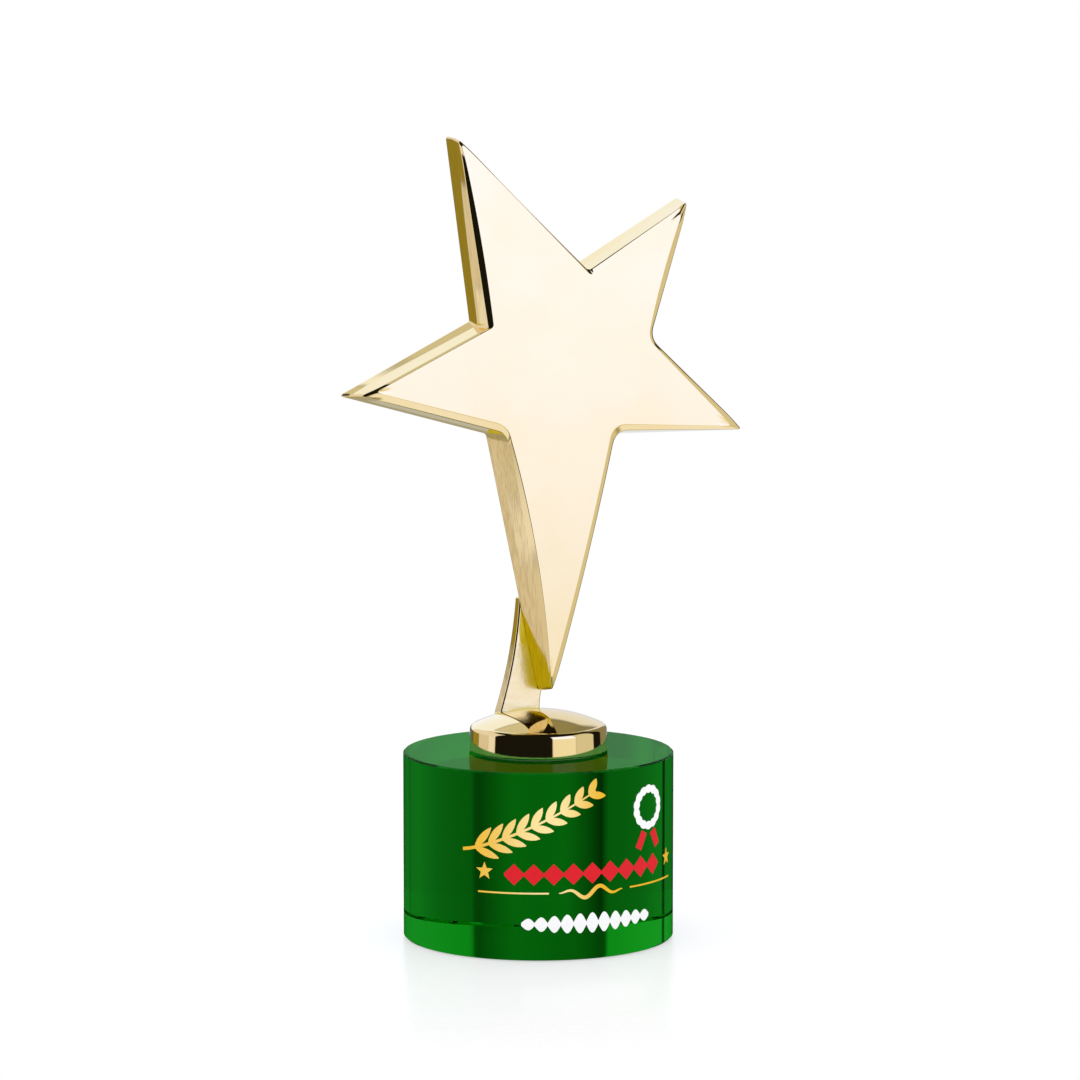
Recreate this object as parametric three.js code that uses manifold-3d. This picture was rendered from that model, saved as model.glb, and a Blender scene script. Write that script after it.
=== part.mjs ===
// Star award: a gold-plated cast star on a curved fin, standing on a domed foot and a green
// crystal cylinder with a printed decoration.
// Millimetres, +Z up. The front faces -Y and the origin is the centre of the underside.
import * as THREE from 'three';
import { mergeVertices } from 'three/addons/utils/BufferGeometryUtils.js';
import Module from 'manifold-3d';

const wasm = await Module();
wasm.setup();

// ---- Driving dimensions ----

const BASE_RADIUS = 40;
const BASE_HEIGHT = 55.2;
const BASE_CHAMFER = 0.5;
const ROUND_STEPS = 80;

const BOND_THICKNESS = 0.2;
const BOND_GAP = 0.05;
const BOND_OUTER_RADIUS = 19.4;

const FOOT_RADIUS = 20.6;
const FOOT_BOTTOM = BASE_HEIGHT + BOND_THICKNESS + 2 * BOND_GAP;
const FOOT_WALL_HEIGHT = 6;
const FOOT_EDGE_ROUNDING = 0.5;
const FOOT_TOP_ROUNDING = 1.8;
const FOOT_RIM = 4.5;
const FOOT_HOLLOW_HEIGHT = 4.6;
const DOME_STEPS = 8;
const DOME_RADIUS = 45.7;
// The dome's slope where it meets the rounding, and from that the height of the dome's centre.
const DOME_SLOPE = Math.asin((FOOT_RADIUS - FOOT_TOP_ROUNDING) / (DOME_RADIUS - FOOT_TOP_ROUNDING));
const DOME_CENTRE = FOOT_BOTTOM + FOOT_WALL_HEIGHT
  - (DOME_RADIUS - FOOT_TOP_ROUNDING) * Math.cos(DOME_SLOPE);

// The star and its fin share one leaning frame: x to the right, z up along the star, and y = 0 on
// the star's flat back, with the face towards -y.
const LEAN = THREE.MathUtils.degToRad(5.4);
const LEAN_ORIGIN = new THREE.Vector3(0, 8, 66.5);
const JOINT_GAP = 0.3;

const STAR_THICKNESS = 10.9;
const SHOULDER_DEPTH = 10;
const TIP_REACH = 10;
const CORNER_STEPS = 5;
const SIDE_STEPS = 8;

const FIN_THICKNESS = 4.8;
const FIN_TOP_THICKNESS = 3.5;
const FIN_HEIGHT = 33.6;
const DOWEL_DIAMETER = 2.5;
const DOWEL_LENGTH = 6;
const DOWEL_SLACK = 0.3;
const DOWEL_DEPTH_IN_STAR = 3.6;
const DOWELS = { dowel_pin_lower: [4.7, 13], dowel_pin_upper: [3.4, 23] };

const SCREW_DIAMETER = 3;
const SCREW_LENGTH = 8;
const SCREW_SLACK = 0.2;
const SCREW_HEAD_DIAMETER = 5.5;
const SCREW_HEAD_HEIGHT = 2;
const SCREW_SEAT = -3.4;
const SCREW_SOCKET = 2.5;
const WASHER_DIAMETER = 5.6;
const WASHER_THICKNESS = 0.6;
const WASHER_BORE = 3.4;
const SEAT_DIAMETER = 6.6;
const SCREWS = { left: -4.6, right: 1.4 };

const INK_THICKNESS = 0.12;
const INK_GAP = 0.14;
const PRINT_HALF_WIDTH = 34;
const RULE_HEIGHT = 19.9;

// ---- Star outline ----

// The corners of the star's back, clockwise from the upper left point as seen from the front.
// round: rounding of the corner on the back and on the face. fall: how far the face drops towards
// the back at a tip. The other values belong to the side that starts at the corner. shoulder and
// face: insets from the back outline at the side's start and end. bow: how far each one bellies
// inwards halfway along. lift: how far the shoulder's depth differs halfway along, and how level
// that stays. crease: depth of the wall's crease and its share of the shoulder's inset.
const STAR_CORNERS = [
  {
    at: [-19.7, 171.4], round: [1.0, 0.6], fall: 1.2,
    shoulder: [1.3, 1.1], face: [1.9, 1.9], bow: [0.2, 0], lift: [0, 2], crease: [5, 0.4],
  },
  {
    at: [20.1, 131.2], round: [0.8, 1.6], fall: 0,
    shoulder: [1.9, 1.0], face: [3.6, 2.6], bow: [0, 0], lift: [0.55, 10], crease: [4.1, 0.5],
  },
  {
    at: [55.1, 150.8], round: [0.7, 0.6], fall: 1.2,
    shoulder: [0.5, 1.1], face: [2.0, 2.3], bow: [0, 0.6], lift: [0.3, 10], crease: [5, 0.4],
  },
  {
    at: [41.0, 109.0], round: [5.0, 6.0], fall: 0,
    shoulder: [1.1, 1.1], face: [2.2, 3.3], bow: [0, 0], lift: [0.25, 10], crease: [5, 0.4],
  },
  {
    at: [71.2, 79.9], round: [0.8, 0.6], fall: 1.2,
    shoulder: [0.2, 1.1], face: [1.1, 2.8], bow: [0, 0], lift: [0, 2], crease: [5, 0.4],
  },
  {
    at: [29.1, 80.5], round: [5.5, 5.5], fall: 0,
    shoulder: [1.8, 0.9], face: [3.4, 2.6], bow: [-0.7, -0.7], lift: [0.25, 10], crease: [5, 0.4],
  },
  {
    at: [4.0, 1.6], round: [1.9, 0.4], fall: 1,
    shoulder: [0.2, 3.0], face: [0.5, 3.4], bow: [1.4, 2.0], lift: [-1.54, 2], crease: [3, 0.3],
  },
  {
    at: [-10.4, 82.1], round: [1.5, 6.5], fall: 0,
    shoulder: [0.8, 0.8], face: [2.9, 2.7], bow: [0, 0], lift: [0, 2], crease: [4.1, 0.45],
  },
  {
    at: [-56.4, 95.1], round: [0.6, 0.6], fall: 5,
    shoulder: [2.0, 2.9], face: [2.6, 3.3], bow: [0, 0], lift: [0, 2], crease: [4.1, 0.5],
  },
  {
    at: [-14.3, 115.6], round: [0.6, 1.4], fall: 0,
    shoulder: [2.0, 0.1], face: [3.1, 0.4], bow: [0, 0.7], lift: [0, 2], crease: [6.2, 0.12],
  },
];

// The four outlines that the star's wall is lofted through, from the back to the face. share is
// the part of the shoulder or face inset that a side uses there, and depth is measured from the
// back, t of the way along the side.
const STAR_LEVELS = [
  { line: 'shoulder', rounding: 0, share: () => 0, depth: () => 0 },
  { line: 'shoulder', rounding: 0.3, share: (side) => side.crease[1], depth: (side) => side.crease[0] },
  {
    line: 'shoulder', rounding: 0.7, share: () => 1,
    depth: (side, t) => SHOULDER_DEPTH + side.lift[0] * (1 - Math.abs(2 * t - 1) ** side.lift[1]),
  },
  { line: 'face', rounding: 1, share: () => 1, depth: () => STAR_THICKNESS },
];

const corners = STAR_CORNERS.map((corner) => ({ ...corner, point: new THREE.Vector2(...corner.at) }));
const following = (index) => (index + 1) % corners.length;
const preceding = (index) => (index + corners.length - 1) % corners.length;

function inwardNormal(index) {
  const along = corners[following(index)].point.clone().sub(corners[index].point).normalize();
  return new THREE.Vector2(along.y, -along.x);
}

// One side's line at a level: its two ends moved inwards by the insets there.
function sideLine(index, level) {
  const [atStart, atEnd] = corners[index][level.line];
  const inward = inwardNormal(index);
  const share = level.share(corners[index]);
  return {
    start: corners[index].point.clone().addScaledVector(inward, atStart * share),
    end: corners[following(index)].point.clone().addScaledVector(inward, atEnd * share),
  };
}

function crossing(first, second) {
  const along = first.end.clone().sub(first.start);
  const across = second.end.clone().sub(second.start);
  const between = second.start.clone().sub(first.start);
  return first.start.clone().addScaledVector(along, between.cross(across) / along.cross(across));
}

// How much of the full depth is left at a point: less near the tips, where the face falls back.
function depthShare(point) {
  let share = 1;
  for (const corner of corners) {
    const near = 1 - THREE.MathUtils.smoothstep(point.distanceTo(corner.point), 0, TIP_REACH);
    share -= (corner.fall / STAR_THICKNESS) * near;
  }
  return share;
}

// A level's ring of points: each corner is a rounded curve between its two sides, and each side
// is stepped so that it can belly inwards. The depth goes evenly round a corner.
function levelRing(level) {
  const lines = corners.map((corner, index) => sideLine(index, level));
  const rounded = corners.map((corner, index) => {
    const before = lines[preceding(index)];
    const after = lines[index];
    const peak = crossing(before, after);
    const towardsStart = before.start.clone().sub(peak).normalize();
    const towardsEnd = after.end.clone().sub(peak).normalize();
    const halfAngle = Math.acos(towardsStart.dot(towardsEnd)) / 2;
    const radius = THREE.MathUtils.lerp(corner.round[0], corner.round[1], level.rounding);
    const reach = radius / Math.tan(halfAngle);
    const entry = peak.clone().addScaledVector(towardsStart, reach);
    const exit = peak.clone().addScaledVector(towardsEnd, reach);
    return new THREE.QuadraticBezierCurve(entry, peak, exit).getPoints(CORNER_STEPS);
  });
  const ring = [];
  const push = (point, depth) => ring.push([point.x, -depth * depthShare(point), point.y]);
  rounded.forEach((curve, index) => {
    const side = corners[index];
    const depthBefore = level.depth(corners[preceding(index)], 1);
    curve.forEach((point, step) => {
      push(point, THREE.MathUtils.lerp(depthBefore, level.depth(side, 0), step / CORNER_STEPS));
    });
    const start = curve[CORNER_STEPS];
    const end = rounded[following(index)][0];
    const bow = side.bow[level.line === 'face' ? 1 : 0] * level.share(side);
    for (let step = 1; step < SIDE_STEPS; step += 1) {
      const t = step / SIDE_STEPS;
      const point = start.clone().lerp(end, t);
      point.addScaledVector(inwardNormal(index), bow * 4 * t * (1 - t));
      push(point, level.depth(side, t));
    }
  });
  return ring;
}

// Joins outlines of equal length, given as rings of [x, y, z] points, into one closed solid.
function loft(rings, startTriangles, endTriangles) {
  const count = rings[0].length;
  const triangles = [];
  for (let ring = 0; ring + 1 < rings.length; ring += 1) {
    for (let index = 0; index < count; index += 1) {
      const next = (index + 1) % count;
      const low = ring * count;
      const high = low + count;
      triangles.push(low + index, low + next, high + next);
      triangles.push(low + index, high + next, high + index);
    }
  }
  for (const [a, b, c] of startTriangles) triangles.push(c, b, a);
  const top = (rings.length - 1) * count;
  for (const [a, b, c] of endTriangles) triangles.push(top + a, top + b, top + c);
  const geometry = new THREE.BufferGeometry();
  geometry.setAttribute('position', new THREE.Float32BufferAttribute(rings.flat(2), 3));
  geometry.setIndex(triangles);
  return geometry;
}

function starBlank() {
  // The rings run clockwise as seen from the front, and the loft wants them anticlockwise.
  const rings = STAR_LEVELS.map((level) => levelRing(level).reverse());
  const cap = (ring) => {
    return THREE.ShapeUtils.triangulateShape(ring.map(([x, , z]) => new THREE.Vector2(x, z)), []);
  };
  return loft(rings, cap(rings[0]), cap(rings[rings.length - 1]));
}

// ---- Joining and cutting ----

function toSolid(geometry) {
  const bare = geometry.clone();
  bare.deleteAttribute('normal');
  bare.deleteAttribute('uv');
  const merged = mergeVertices(bare, 1e-4);
  return new wasm.Manifold(new wasm.Mesh({
    numProp: 3,
    vertProperties: Float32Array.from(merged.attributes.position.array),
    triVerts: Uint32Array.from(merged.index.array),
  }));
}

function toGeometry(solid) {
  const mesh = solid.getMesh();
  const geometry = new THREE.BufferGeometry();
  geometry.setAttribute('position', new THREE.BufferAttribute(mesh.vertProperties, 3));
  geometry.setIndex(new THREE.BufferAttribute(mesh.triVerts, 1));
  return geometry;
}

const cut = (geometry, cutters) => toGeometry(
  cutters.reduce((solid, cutter) => solid.subtract(toSolid(cutter)), toSolid(geometry)),
);

const join = (geometries) => toGeometry(
  geometries.slice(1).reduce((solid, extra) => solid.add(toSolid(extra)), toSolid(geometries[0])),
);

// A cylinder along z from one height to another.
function rod(radius, bottom, top, x, y, steps = 24) {
  const geometry = new THREE.CylinderGeometry(radius, radius, top - bottom, steps);
  return geometry.rotateX(Math.PI / 2).translate(x, y, (bottom + top) / 2);
}

// A cylinder along y, from one depth to another.
function crossRod(radius, front, back, x, z, steps = 24) {
  const geometry = new THREE.CylinderGeometry(radius, radius, back - front, steps);
  return geometry.translate(x, (front + back) / 2, z);
}

function lathe(profile) {
  const points = profile.map(([radius, height]) => new THREE.Vector2(radius, height));
  return new THREE.LatheGeometry(points, ROUND_STEPS).rotateX(Math.PI / 2);
}

// ---- Pieces of the leaning frame ----

const finMiddle = JOINT_GAP + FIN_THICKNESS / 2;

function starGeometry() {
  const holes = Object.values(DOWELS).map(([x, z]) => {
    return crossRod((DOWEL_DIAMETER + DOWEL_SLACK) / 2, -DOWEL_DEPTH_IN_STAR, 1, x, z);
  });
  return cut(starBlank(), holes);
}

function finOutline() {
  const shape = new THREE.Shape();
  shape.moveTo(-9.8, -4);
  shape.bezierCurveTo(-7.6, 4, -3.6, 12, -1.3, 32.2);
  shape.quadraticCurveTo(-1.2, FIN_HEIGHT, -0.2, FIN_HEIGHT - 0.4);
  shape.bezierCurveTo(5.2, 30.5, 8.6, 20.5, 7.2, 12.5);
  shape.bezierCurveTo(6.3, 7.5, 3.4, 5.5, 4.1, -4);
  shape.closePath();
  return shape;
}

// The fin's back slopes forwards, so that the plate is thinner at its top.
function thinTowardsTop(plate) {
  const position = plate.attributes.position;
  for (let index = 0; index < position.count; index += 1) {
    const up = THREE.MathUtils.clamp(position.getZ(index) / FIN_HEIGHT, 0, 1);
    const share = THREE.MathUtils.lerp(1, FIN_TOP_THICKNESS / FIN_THICKNESS, up);
    position.setY(index, position.getY(index) * share);
  }
}

function finGeometry() {
  const settings = { depth: FIN_THICKNESS, bevelEnabled: false, curveSegments: 14 };
  const plate = new THREE.ExtrudeGeometry(finOutline(), settings);
  plate.rotateX(Math.PI / 2).translate(0, FIN_THICKNESS, 0);
  thinTowardsTop(plate);
  plate.translate(0, JOINT_GAP, 0);
  const domeCentre = new THREE.Vector3(0, 0, DOME_CENTRE).sub(LEAN_ORIGIN);
  domeCentre.applyAxisAngle(new THREE.Vector3(1, 0, 0), LEAN);
  const dome = new THREE.SphereGeometry(DOME_RADIUS + JOINT_GAP, 128, 96).translate(...domeCentre);
  const boreRadius = (SCREW_DIAMETER + SCREW_SLACK) / 2;
  const bores = Object.values(SCREWS).map((x) => rod(boreRadius, -5, screwTop() + 0.8, x, finMiddle));
  const holes = Object.values(DOWELS).map(([x, z]) => {
    return crossRod((DOWEL_DIAMETER + DOWEL_SLACK) / 2, 0, dowelBack() + 0.3, x, z);
  });
  return cut(plate, [dome, ...bores, ...holes]);
}

// A thin run of brazing metal between the star's back and the fin, along the fin's two edges.
function brazeGeometry() {
  const shape = new THREE.Shape();
  shape.moveTo(3.7, 6.6);
  shape.bezierCurveTo(1.9, 14, 0.2, 22, -0.6, 30.5);
  shape.bezierCurveTo(4.4, 28, 7.2, 20.5, 6.4, 14);
  shape.bezierCurveTo(6.2, 11.4, 5.4, 8.8, 4.9, 6.6);
  shape.closePath();
  const slack = 0.06;
  const layer = new THREE.ExtrudeGeometry(shape, {
    depth: JOINT_GAP - 2 * slack, bevelEnabled: false, curveSegments: 12,
  });
  layer.rotateX(Math.PI / 2).translate(0, JOINT_GAP - slack, 0);
  const holes = Object.values(DOWELS).map(([x, z]) => {
    return crossRod((DOWEL_DIAMETER + DOWEL_SLACK) / 2, -1, 1, x, z);
  });
  return cut(layer, holes);
}

const dowelFront = () => -DOWEL_DEPTH_IN_STAR + 0.3;
const dowelBack = () => dowelFront() + DOWEL_LENGTH;

function dowelGeometry() {
  const half = DOWEL_LENGTH / 2;
  const radius = DOWEL_DIAMETER / 2;
  const lead = 0.3;
  const profile = [[0, -half], [radius - lead, -half], [radius, lead - half], [radius, half - lead],
    [radius - lead, half], [0, half]];
  return new THREE.LatheGeometry(profile.map((point) => new THREE.Vector2(...point)), 24);
}

const screwTop = () => SCREW_SEAT - WASHER_THICKNESS + SCREW_LENGTH;

// A cap screw seen from below: socket, head and shank, with its head's upper face at z = 0.
function screwGeometry() {
  const head = SCREW_HEAD_DIAMETER / 2;
  const shank = SCREW_DIAMETER / 2;
  const edge = 0.3;
  const profile = [[0, -SCREW_HEAD_HEIGHT], [head - edge, -SCREW_HEAD_HEIGHT],
    [head, edge - SCREW_HEAD_HEIGHT], [head, 0], [shank, 0], [shank, SCREW_LENGTH - edge],
    [shank - edge, SCREW_LENGTH], [0, SCREW_LENGTH]];
  const points = profile.map((point) => new THREE.Vector2(...point));
  const blank = new THREE.LatheGeometry(points, 24).rotateX(Math.PI / 2);
  const socket = rod(SCREW_SOCKET / Math.sqrt(3), -SCREW_HEAD_HEIGHT - 1, -SCREW_HEAD_HEIGHT / 2, 0, 0, 6);
  return cut(blank, [socket]);
}

function washerGeometry() {
  const outer = WASHER_DIAMETER / 2;
  const inner = WASHER_BORE / 2;
  const profile = [[inner, 0], [outer, 0], [outer, WASHER_THICKNESS], [inner, WASHER_THICKNESS], [inner, 0]];
  return new THREE.LatheGeometry(profile.map((point) => new THREE.Vector2(...point)), 32)
    .rotateX(Math.PI / 2);
}

// ---- Foot and base ----

// Points along a quarter turn around (radius, height), from one angle to another in degrees.
function turn(radius, height, size, from, to, steps) {
  return Array.from({ length: steps + 1 }, (unused, step) => {
    const angle = THREE.MathUtils.degToRad(THREE.MathUtils.lerp(from, to, step / steps));
    return [radius + size * Math.cos(angle), height + size * Math.sin(angle)];
  });
}

function footGeometry() {
  const ceiling = FOOT_BOTTOM + FOOT_HOLLOW_HEIGHT;
  const slope = THREE.MathUtils.radToDeg(DOME_SLOPE);
  const low = turn(FOOT_RADIUS - FOOT_EDGE_ROUNDING, FOOT_BOTTOM + FOOT_EDGE_ROUNDING,
    FOOT_EDGE_ROUNDING, -90, 0, 4);
  const high = turn(FOOT_RADIUS - FOOT_TOP_ROUNDING, FOOT_BOTTOM + FOOT_WALL_HEIGHT,
    FOOT_TOP_ROUNDING, 0, 90 - slope, 3);
  const dome = turn(0, DOME_CENTRE, DOME_RADIUS, 90 - slope, 90, DOME_STEPS).slice(1, -1);
  const inner = FOOT_RADIUS - FOOT_RIM;
  const blank = lathe([[0, ceiling], [inner, ceiling], [inner, FOOT_BOTTOM], ...low, ...high, ...dome,
    [0, DOME_CENTRE + DOME_RADIUS]]);
  const cutters = Object.values(SCREWS).flatMap((x) => [
    rod((SCREW_DIAMETER + 2 * SCREW_SLACK) / 2, -10, 5, x, finMiddle),
    rod(SEAT_DIAMETER / 2, -12, SCREW_SEAT, x, finMiddle),
  ]);
  for (const cutter of cutters) {
    cutter.rotateX(-LEAN).translate(...LEAN_ORIGIN);
  }
  return cut(blank, cutters);
}

function bondGeometry() {
  const bottom = BASE_HEIGHT + BOND_GAP;
  const top = bottom + BOND_THICKNESS;
  const inner = FOOT_RADIUS - FOOT_RIM;
  return lathe([[inner, bottom], [BOND_OUTER_RADIUS, bottom], [BOND_OUTER_RADIUS, top], [inner, top],
    [inner, bottom]]);
}

function baseGeometry() {
  const edge = BASE_RADIUS - BASE_CHAMFER;
  return lathe([[0, 0], [edge, 0], [BASE_RADIUS, BASE_CHAMFER], [BASE_RADIUS, BASE_HEIGHT - BASE_CHAMFER],
    [edge, BASE_HEIGHT], [0, BASE_HEIGHT]]);
}

// ---- Printed decoration ----

// Bends a flat piece of ink around the base: u runs along the wall from the front, v is the
// height and w the thickness.
function wrap(geometry) {
  const position = geometry.attributes.position;
  for (let index = 0; index < position.count; index += 1) {
    const angle = position.getX(index) / BASE_RADIUS;
    const radius = BASE_RADIUS + INK_GAP + position.getZ(index);
    position.setXYZ(index, radius * Math.sin(angle), -radius * Math.cos(angle), position.getY(index));
  }
  return geometry;
}

// A flat band of ink along a curve, given as functions of t from 0 to 1. A closed band joins its
// end to its start.
function band(centre, width, steps, closed = false) {
  const stations = closed ? steps : steps + 1;
  const rings = Array.from({ length: stations }, (unused, index) => {
    const t = index / steps;
    const nudge = 1e-3;
    const ahead = centre(Math.min(t + nudge, 1)).sub(centre(Math.max(t - nudge, 0))).normalize();
    const side = new THREE.Vector2(-ahead.y, ahead.x).multiplyScalar(width(t) / 2);
    const left = centre(t).add(side);
    const right = centre(t).sub(side);
    return [[left.x, left.y, 0], [left.x, left.y, INK_THICKNESS], [right.x, right.y, INK_THICKNESS],
      [right.x, right.y, 0]];
  });
  if (!closed) return wrap(loft(rings, [[0, 1, 2], [0, 2, 3]], [[0, 1, 2], [0, 2, 3]]));
  return wrap(mergeVertices(loft([...rings, rings[0]], [], []), 1e-5));
}

const between = (start, end) => (t) => new THREE.Vector2(...start).lerp(new THREE.Vector2(...end), t);

function ruleGeometry(side) {
  const ends = [[side * 13, RULE_HEIGHT], [side * PRINT_HALF_WIDTH, RULE_HEIGHT]];
  return band(between(...ends), () => 0.5, 12);
}

function smallStarGeometry(side) {
  const outer = 2.7;
  const inner = 1.15;
  const shape = new THREE.Shape(Array.from({ length: 10 }, (unused, index) => {
    const angle = Math.PI / 2 + (index * Math.PI) / 5;
    const radius = index % 2 ? inner : outer;
    return new THREE.Vector2(radius * Math.cos(angle), radius * Math.sin(angle));
  }));
  const star = new THREE.ExtrudeGeometry(shape, { depth: INK_THICKNESS, bevelEnabled: false });
  return wrap(star.translate(side * 32, 26, 0));
}

// A row of lozenges joined tip to tip.
function friezeGeometry() {
  const lozenges = 9;
  const width = (t) => {
    const phase = (t * lozenges) % 1;
    return 0.7 + 5.6 * (1 - Math.abs(2 * phase - 1));
  };
  return band(between([-26, 25.4], [26, 25.4]), width, lozenges * 6);
}

// A row of beads that shrink towards both ends.
function garlandGeometry() {
  const beads = 11;
  const width = (t) => 0.8 + (2.2 + 3 * Math.sin(Math.PI * t)) * Math.abs(Math.sin(Math.PI * beads * t));
  return band(between([-21, 10.8], [21, 10.8]), width, beads * 8);
}

function flourishGeometry() {
  const swing = (t) => 1.7 * Math.sin(4 * Math.PI * t) * Math.sin(Math.PI * t);
  const centre = (t) => new THREE.Vector2(20 * t - 10, RULE_HEIGHT + swing(t));
  return band(centre, (t) => 0.3 + 0.9 * Math.sin(Math.PI * t), 40);
}

function stemPoint(t) {
  return new THREE.Vector2(THREE.MathUtils.lerp(-39, 1, t), 32 + 17.5 * t ** 1.35);
}

function sprigGeometry() {
  const leaves = 9;
  const stem = band(stemPoint, (t) => 1 - 0.55 * t, 18);
  const pieces = [stem];
  for (let index = 0; index < leaves; index += 1) {
    const t = 0.1 + (0.85 * index) / (leaves - 1);
    const length = 8.4 - 3.2 * t;
    const ahead = stemPoint(t + 0.01).sub(stemPoint(t - 0.01)).normalize();
    for (const side of [-1, 1]) {
      const splay = side * 0.62;
      const heading = ahead.clone().rotateAround(new THREE.Vector2(), splay);
      const root = stemPoint(t).addScaledVector(heading, -0.2);
      const tip = root.clone().addScaledVector(heading, length);
      pieces.push(band((s) => root.clone().lerp(tip, s), (s) => 0.25 + 2 * Math.sin(Math.PI * s) ** 0.8, 6));
    }
  }
  return join(pieces);
}

const ROSETTE = { centre: [21, 42.5], radius: 5.4 };

// A ring with a scalloped edge.
function rosetteGeometry() {
  const scallops = 14;
  const centre = (t) => new THREE.Vector2(
    ROSETTE.centre[0] + ROSETTE.radius * Math.cos(2 * Math.PI * t),
    ROSETTE.centre[1] + ROSETTE.radius * Math.sin(2 * Math.PI * t),
  );
  const width = (t) => 1.7 + 0.8 * Math.abs(Math.sin(Math.PI * scallops * t));
  return band(centre, width, scallops * 6, true);
}

function tailGeometry(side) {
  const [x, height] = ROSETTE.centre;
  const start = [x + side * 2, height - ROSETTE.radius - 1.7];
  const end = [x + side * 4.6, height - ROSETTE.radius - 6.4];
  return band(between(start, end), () => 2.6, 4);
}

// ---- Materials ----

const gold = new THREE.MeshStandardMaterial({ color: 0xf3dca0, roughness: 0.08, metalness: 1 });
const castGold = new THREE.MeshStandardMaterial({ color: 0xe0c070, roughness: 0.3, metalness: 1 });
const steel = new THREE.MeshStandardMaterial({ color: 0xb8bcc0, roughness: 0.3, metalness: 1 });
const bond = new THREE.MeshStandardMaterial({ color: 0xd9dccb, roughness: 0.4, metalness: 0 });
const crystal = new THREE.MeshStandardMaterial({ color: 0x0b7a22, roughness: 0.03, metalness: 0 });
const goldInk = new THREE.MeshStandardMaterial({ color: 0xf0c040, roughness: 0.4, metalness: 0.3 });
const redInk = new THREE.MeshStandardMaterial({ color: 0xe01b2a, roughness: 0.5, metalness: 0 });
const whiteInk = new THREE.MeshStandardMaterial({ color: 0xffffff, roughness: 0.5, metalness: 0 });

// ---- Assembly ----

const award = new THREE.Group();

function add(parent, name, geometry, material, x = 0, y = 0, z = 0) {
  const mesh = new THREE.Mesh(geometry, material);
  mesh.name = name;
  mesh.position.set(x, y, z);
  parent.add(mesh);
}

add(award, 'crystal_base', baseGeometry(), crystal);
add(award, 'bond_ring', bondGeometry(), bond);
add(award, 'foot_dome', footGeometry(), gold);

const leaning = new THREE.Group();
leaning.position.copy(LEAN_ORIGIN);
leaning.rotation.x = -LEAN;
award.add(leaning);

add(leaning, 'star', starGeometry(), gold);
add(leaning, 'support_fin', finGeometry(), gold);
add(leaning, 'braze_seam', brazeGeometry(), castGold);
for (const [name, [x, z]] of Object.entries(DOWELS)) {
  add(leaning, name, dowelGeometry(), steel, x, (dowelFront() + dowelBack()) / 2, z);
}
const washerBottom = SCREW_SEAT - WASHER_THICKNESS - 0.05;
for (const [side, x] of Object.entries(SCREWS)) {
  add(leaning, `lock_washer_${side}`, washerGeometry(), steel, x, finMiddle, washerBottom);
  add(leaning, `fin_screw_${side}`, screwGeometry(), steel, x, finMiddle, washerBottom - 0.05);
}

add(award, 'print_sprig', sprigGeometry(), goldInk);
add(award, 'print_rosette', rosetteGeometry(), whiteInk);
add(award, 'print_frieze', friezeGeometry(), redInk);
add(award, 'print_flourish', flourishGeometry(), goldInk);
add(award, 'print_garland', garlandGeometry(), whiteInk);
for (const [name, side] of [['left', -1], ['right', 1]]) {
  add(award, `print_rosette_tail_${name}`, tailGeometry(side), redInk);
  add(award, `print_star_${name}`, smallStarGeometry(side), goldInk);
  add(award, `print_rule_${name}`, ruleGeometry(side), goldInk);
}

export default award;
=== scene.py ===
from math import cos, pi, radians, sin
import bpy
import numpy as np
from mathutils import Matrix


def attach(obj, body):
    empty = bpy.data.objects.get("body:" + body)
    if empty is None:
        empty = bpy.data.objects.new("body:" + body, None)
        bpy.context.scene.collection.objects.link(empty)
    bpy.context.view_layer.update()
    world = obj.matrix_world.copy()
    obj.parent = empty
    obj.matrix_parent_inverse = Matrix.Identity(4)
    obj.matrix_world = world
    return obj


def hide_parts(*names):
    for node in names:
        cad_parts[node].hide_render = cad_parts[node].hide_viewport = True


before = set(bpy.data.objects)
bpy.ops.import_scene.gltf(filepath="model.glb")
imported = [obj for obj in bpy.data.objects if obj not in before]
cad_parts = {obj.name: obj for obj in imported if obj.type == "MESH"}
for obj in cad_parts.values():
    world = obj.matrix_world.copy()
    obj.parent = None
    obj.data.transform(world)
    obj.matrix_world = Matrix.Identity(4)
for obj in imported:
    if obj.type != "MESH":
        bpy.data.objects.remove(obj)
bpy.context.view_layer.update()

mm = 0.001
scene = bpy.context.scene
scene.view_settings.view_transform = "Standard"


# A socket that takes part in sums: each operator adds the Math node that it names.
class Wire:
    def __init__(self, graph, socket):
        self.graph = graph
        self.socket = socket

    def maths(self, operation, first, second=0.0):
        return self.graph.wire("ShaderNodeMath", {"operation": operation}, {0: first, 1: second})

    def __add__(self, other): return self.maths("ADD", self, other)
    def __radd__(self, other): return self.maths("ADD", other, self)
    def __sub__(self, other): return self.maths("SUBTRACT", self, other)
    def __rsub__(self, other): return self.maths("SUBTRACT", other, self)
    def __mul__(self, other): return self.maths("MULTIPLY", self, other)
    def __rmul__(self, other): return self.maths("MULTIPLY", other, self)
    def __truediv__(self, other): return self.maths("DIVIDE", self, other)
    def __pow__(self, other): return self.maths("POWER", self, other)

    # Goes smoothly from fromValue, at or below low, to toValue, at or above high.
    def between(self, low, high, fromValue=0.0, toValue=1.0):
        return self.graph.wire("ShaderNodeMapRange", {"interpolation_type": "SMOOTHSTEP"},
                               {"Value": self, "From Min": low, "From Max": high,
                                "To Min": fromValue, "To Max": toValue})


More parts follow.
